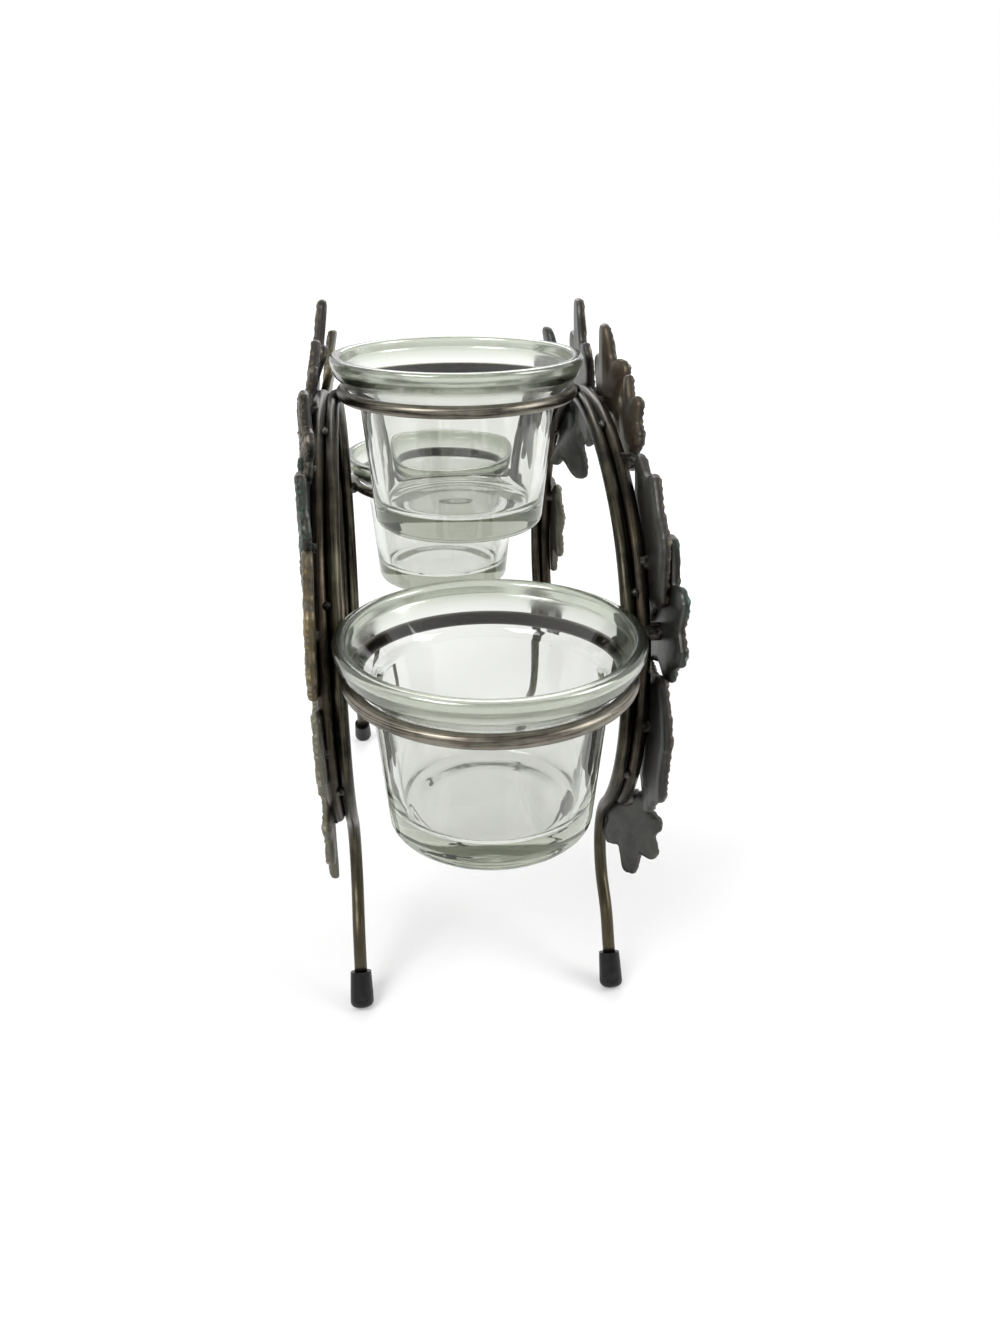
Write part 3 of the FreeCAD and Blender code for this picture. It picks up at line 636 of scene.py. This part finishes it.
def hammered(y, z, seed):
    """How far the veins, side ribs, dents and pits of the front stand above the plain sheet at a point."""
    degrees = math.degrees(math.atan2(y, z))
    vein = math.radians(min(VEINS, key=lambda way: abs((degrees - way + 180) % 360 - 180)))
    run = y * math.sin(vein) + z * math.cos(vein)
    aside = abs(y * math.cos(vein) - z * math.sin(vein))
    spot = Vector((y, z, seed))
    wobble = RIB_WOBBLE * noise.noise(spot / DENT_SIZE / 2)
    rib = 0.5 + 0.5 * math.cos(math.tau * ((run - RIB_SLANT * aside) / RIB_PITCH + wobble))
    ridge = math.exp(-(aside / VEIN_WIDTH) ** 2)
    dent = max(0, 1 - 2 * noise.voronoi(spot / DENT_SIZE)[0][0] ** 2)
    raised = VEIN_HEIGHT * ridge + RIB_HEIGHT * rib * (1 - ridge)
    return raised - DENT_DEPTH * dent + PIT_DEPTH * noise.noise(spot / PIT_SIZE)


def fullness(vert, share):
    """How full the sheet is at a point: 0 at the rim of the leaf, and 1 where its rounded edge ends."""
    inside = math.hypot(vert.co.y, vert.co.z) * (1 / share - 1) if share else LEAF_ROUND
    return math.sqrt(1 - max(0, 1 - inside / LEAF_ROUND) ** 2)


def draw_in(bm, edges, shares, set_out):
    """Draw a leaf's outline in towards its middle, ring by ring, and set each new point out to a surface."""
    before = 1
    for share in shares:
        verts, edges = drawn_out(bm, edges)
        for vert in verts:
            vert.co.yz *= share / before
            set_out(vert, share)
        before = share


def outside_frame(y, z):
    """How far a point lies outside the line of the bent rods. Inside the arch it is below 0."""
    off_crown = Spot(abs(y) - CROWN.centre.reach, z - CROWN.centre.height)
    bend = CROWN if math.degrees(math.atan2(*off_crown)) <= CROWN.last else SHOULDER
    return math.dist((abs(y), z), bend.centre) - bend.radius


def leaf_mesh(reach, smoothing, seed):
    """A leaf in its own place: its middle is the origin, its front looks along X and its tip along Z."""
    bm = bmesh.new()
    relief, front = bm.verts.layers.float.new("relief"), bm.verts.layers.float.new("front")
    rim = bmesh.ops.create_circle(bm, segments=LEAF_SEGMENTS, radius=reach)["verts"]
    for vert in rim:
        vert.co *= outline_share(math.degrees(math.atan2(vert.co.x, vert.co.y)))
    for _ in range(smoothing):
        bmesh.ops.smooth_vert(bm, verts=rim, factor=LEAF_EASE, use_axis_x=True, use_axis_y=True)
    for vert in rim:
        ray = vert.co.normalized()
        tooth = sum(depth * noise.noise(ray * count + Vector((0, 0, seed))) for count, depth in TEETH)
        y, z = vert.co.xy * (LEAF_TRIM + tooth)
        vert.co = (sheet_height(y, z, reach, seed) + LEAF_THICK / 2, y, z)
        vert[front] = 1
    outline = bm.edges[:]

    def front_point(vert, share):
        full, raised = fullness(vert, share), hammered(vert.co.y, vert.co.z, seed)
        sheet = sheet_height(vert.co.y, vert.co.z, reach, seed)
        vert.co.x = sheet + (1 + full) * LEAF_THICK / 2 + full * raised
        vert[relief] = (raised + DENT_DEPTH) / (DENT_DEPTH + VEIN_HEIGHT)
        vert[front] = 1

    def back_point(vert, share):
        sheet = sheet_height(vert.co.y, vert.co.z, reach, seed)
        vert.co.x = sheet + (1 - fullness(vert, share)) * LEAF_THICK / 2
        vert[relief], vert[front] = BACK_RELIEF, 0

    for rings, set_out in ((FRONT_RINGS, front_point), (BACK_RINGS, back_point)):
        draw_in(bm, outline, EDGE_RINGS + [1 - ring / rings for ring in range(2, rings)] + [0], set_out)
    bmesh.ops.remove_doubles(bm, verts=bm.verts, dist=LEAF_MERGE)
    bmesh.ops.recalc_face_normals(bm, faces=bm.faces)
    return bm


finishes = {name: leaf_patina(f"{name}_patina", patina) for name, patina in PATINAS.items()}
for side, sign in (("left", -1), ("right", 1)):
    low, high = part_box(f"{side}_branch_rod")
    rod_face = max(abs(low.x), abs(high.x)) / MM + LEAF_GAP
    for number, leaf in enumerate(LEAVES[side]):
        bm = leaf_mesh(LEAF_REACH[leaf.size], leaf.smoothing, sign * (number + 1) * SEED_STEP)
        turned_to = (Matrix.Rotation(math.radians(leaf.tip), 4, "X")
                     @ Matrix.Rotation(math.pi if sign < 0 else 0, 4, "Z")
                     @ Matrix.Rotation(math.radians(leaf.lean), 4, "Y")
                     @ Matrix.Rotation(math.radians(sign * leaf.turn), 4, "Z"))
        on_rod = frame_spot(leaf.at)
        seat = Vector((sign * (rod_face + leaf.layer * LAYER_STEP), -on_rod.reach, on_rod.height))
        seat += turned_to @ Vector((0, 0, leaf.shift))
        bmesh.ops.transform(bm, matrix=Matrix.Translation(seat) @ turned_to, verts=bm.verts)
        nearest = min(vert.co.y for vert in bm.verts)
        for vert in bm.verts:
            outside = outside_frame(vert.co.y, vert.co.z)
            beyond, within = max(0, outside) / PRESS_RUN, max(0, -outside) / PRESS_RUN
            twisted = leaf.twist * max(0, seat.y - vert.co.y) * min(1, beyond)
            opened = leaf.open * (vert.co.y - nearest - OPEN_FROM) * min(1, within)
            vert.co.x -= sign * (leaf.press * beyond ** PRESS_POWER + twisted + opened)
        bmesh.ops.scale(bm, vec=(MM, MM, MM), verts=bm.verts)
        piece = new_piece(f"{side}_{leaf.name}_iron_leaf", bm, finishes[leaf.wash])
        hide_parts(f"{side}_{leaf.name}_leaf")
        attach(piece, "stand")


# The studio. A pale floor and a white surround, a broad soft light over the left shoulder and weaker
# ones opposite and behind, and the camera where the photograph was taken from.
BLACK, WHITE = (0, 0, 0, 1), (1, 1, 1, 1)
FLOOR_SIZE, FLOOR_WHITE, FLOOR_ROUGH = 3.0, (0.80, 0.80, 0.80, 1), 0.9
SURROUND_LIGHT, DARK_SIDE, DARK_SIDE_EDGES = 0.55, 0.7, (-0.55, 0.15)
FLOOR_LIFT, FLOOR_FAR = (0.2, 0.56), (0.3, 1.3)
LAMPS = [
    # place, size, power
    ((-0.55, -0.55, 0.85), 0.5, 6.0),
    ((0.75, -0.25, 0.65), 0.45, 3.5),
    ((0.1, 0.85, 0.7), 0.6, 4.0),
]
AIM = Vector((0, 0, 0.08))
LENS, SENSOR, NEAREST_SEEN = 28.33, 36.0, 0.01
CAMERA_PLACE = Vector((-0.02264, -0.29827, 0.20518))
CAMERA_RIGHT, CAMERA_UP = Vector((0.9933, -0.1157, 0)), Vector((0.0491, 0.4213, 0.9056))


def shown_to_the_eye(shade):
    """1 for what the camera, a reflection or a view through glass shows, 0 for light that falls on things."""
    straight, mirrored, through = [shade.node("ShaderNodeLightPath", {}, {}, f"Is {ray} Ray")
                                   for ray in ("Camera", "Glossy", "Transmission")]
    return straight.larger(mirrored.larger(through))


world = bpy.data.worlds.new("studio")
bpy.context.scene.world = world
world.use_nodes = True
seen = shown_to_the_eye(Shade(world.node_tree))
background = world.node_tree.nodes["Background"]
background.inputs["Color"].default_value = WHITE
backward = seen.node("ShaderNodeTexCoord", {}, {}, "Generated").part("Y")
by_eye = seen.node("ShaderNodeLightPath", {}, {}, "Is Camera Ray")
mirrored = DARK_SIDE + backward.rising(*DARK_SIDE_EDGES) * (1 - DARK_SIDE)
shown = by_eye.larger(mirrored)
(SURROUND_LIGHT + seen * (shown - SURROUND_LIGHT)).feed(background, "Strength")

floor_finish, shader, spot = new_finish("pale_floor")
shader.inputs["Base Color"].default_value = FLOOR_WHITE
shader.inputs["Roughness"].default_value = FLOOR_ROUGH
shader.inputs["Emission Strength"].default_value = 1.0
away = spot.node("ShaderNodeVectorMath", {"operation": "LENGTH"}, {0: spot}, "Value").rising(*FLOOR_FAR)
lift = shown_to_the_eye(spot) * (FLOOR_LIFT[0] + away * (FLOOR_LIFT[1] - FLOOR_LIFT[0]))
lift.mix(BLACK, WHITE).feed(shader, "Emission Color")
bm = bmesh.new()
bmesh.ops.create_grid(bm, x_segments=1, y_segments=1, size=FLOOR_SIZE)
floor = new_piece("floor", bm, floor_finish)

for number, (place, size, power) in enumerate(LAMPS):
    lamp = bpy.data.lights.new(f"soft_light_{number}", "AREA")
    lamp.size, lamp.energy = size, power
    light = bpy.data.objects.new(f"soft_light_{number}", lamp)
    light.location = place
    light.rotation_euler = (AIM - Vector(place)).to_track_quat("-Z", "Y").to_euler()
    light.visible_transmission = False
    bpy.context.scene.collection.objects.link(light)

lens = bpy.data.cameras.new("camera")
lens.sensor_fit, lens.sensor_height, lens.lens = "VERTICAL", SENSOR, LENS
lens.clip_start = NEAREST_SEEN
camera = bpy.data.objects.new("camera", lens)
turn = Matrix((CAMERA_RIGHT, CAMERA_UP, CAMERA_RIGHT.cross(CAMERA_UP))).transposed()
camera.matrix_world = Matrix.Translation(CAMERA_PLACE) @ turn.to_4x4()
bpy.context.scene.collection.objects.link(camera)
bpy.context.scene.camera = camera
bpy.context.scene.view_settings.view_transform = "Standard"

# Light that runs round inside a thick glass rim or base turns many times before it comes out.
GLASS_TURNS = 24
cycles = bpy.context.scene.cycles
cycles.max_bounces = cycles.glossy_bounces = cycles.transmission_bounces = GLASS_TURNS
